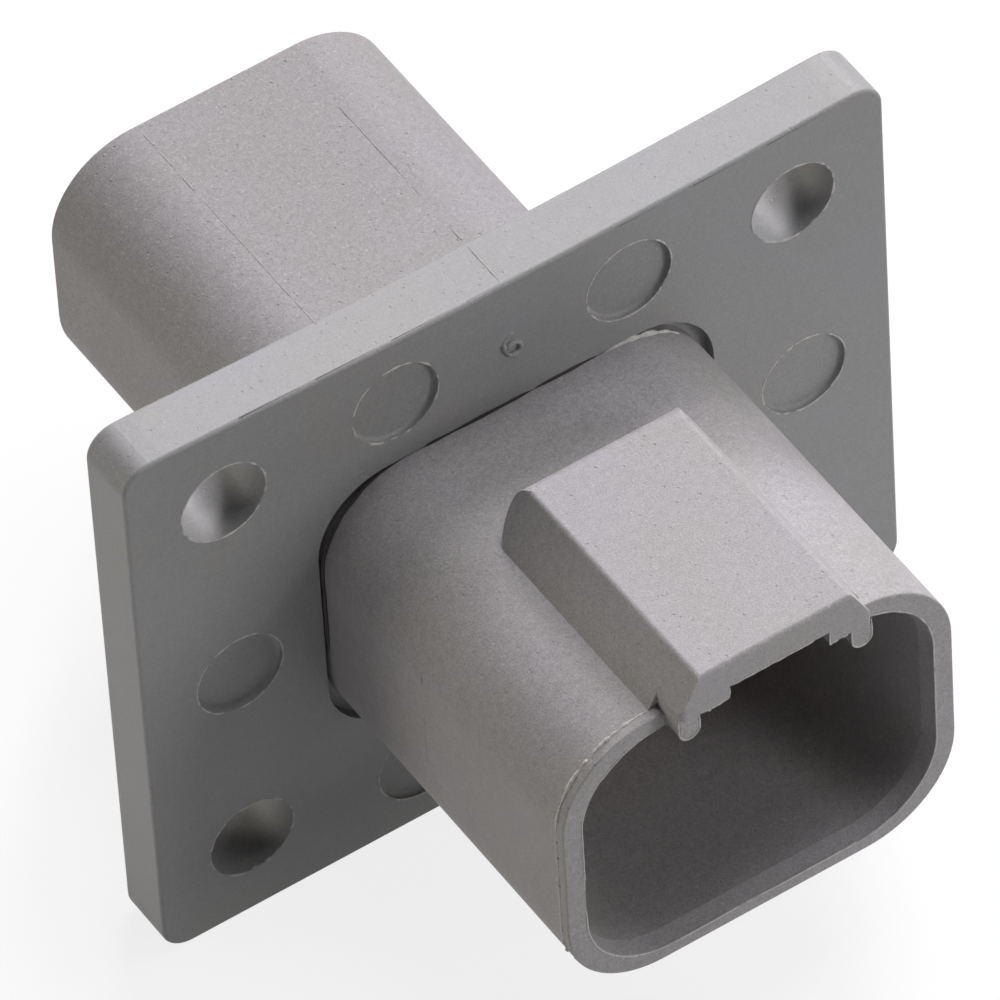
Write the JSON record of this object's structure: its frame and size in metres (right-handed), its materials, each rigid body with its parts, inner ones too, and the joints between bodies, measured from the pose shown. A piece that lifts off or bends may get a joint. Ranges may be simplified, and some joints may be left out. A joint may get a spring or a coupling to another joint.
{
  "type": "sealed flange-mount connector receptacle",
  "caption": "Sealed rectangular pin receptacle for vehicle wiring, with a bolt-on flange plate, a latch pad over its mating mouth and a ribbed rubber wire seal at its rear.",
  "frame": {"origin": "middle of the flange's back face, where it meets the panel, midway between the bolt holes", "axes": "-Y points out of the mating mouth, +Y towards the wires, +Z to the latch pad, +X across to complete a right-handed frame"},
  "size_m": [0.0412, 0.0461, 0.0334],
  "materials": {
    "housing": "grey glass-filled nylon, fine moulded grain",
    "flange": "grey glass-filled nylon, smooth moulded face",
    "seal": "satin silicone rubber",
    "lock": "orange moulded thermoplastic",
    "contact": "nickel plating on a turned copper alloy"
  },
  "bodies": {
    "root": {"receptacle_shell": "housing", "mounting_flange": "flange", "rear_wire_seal": "seal", "wedge_lock": "lock", "contact_pin_1": "contact", "contact_pin_2": "contact", "contact_pin_3": "contact", "contact_pin_4": "contact"}
  },
  "joints": []
}
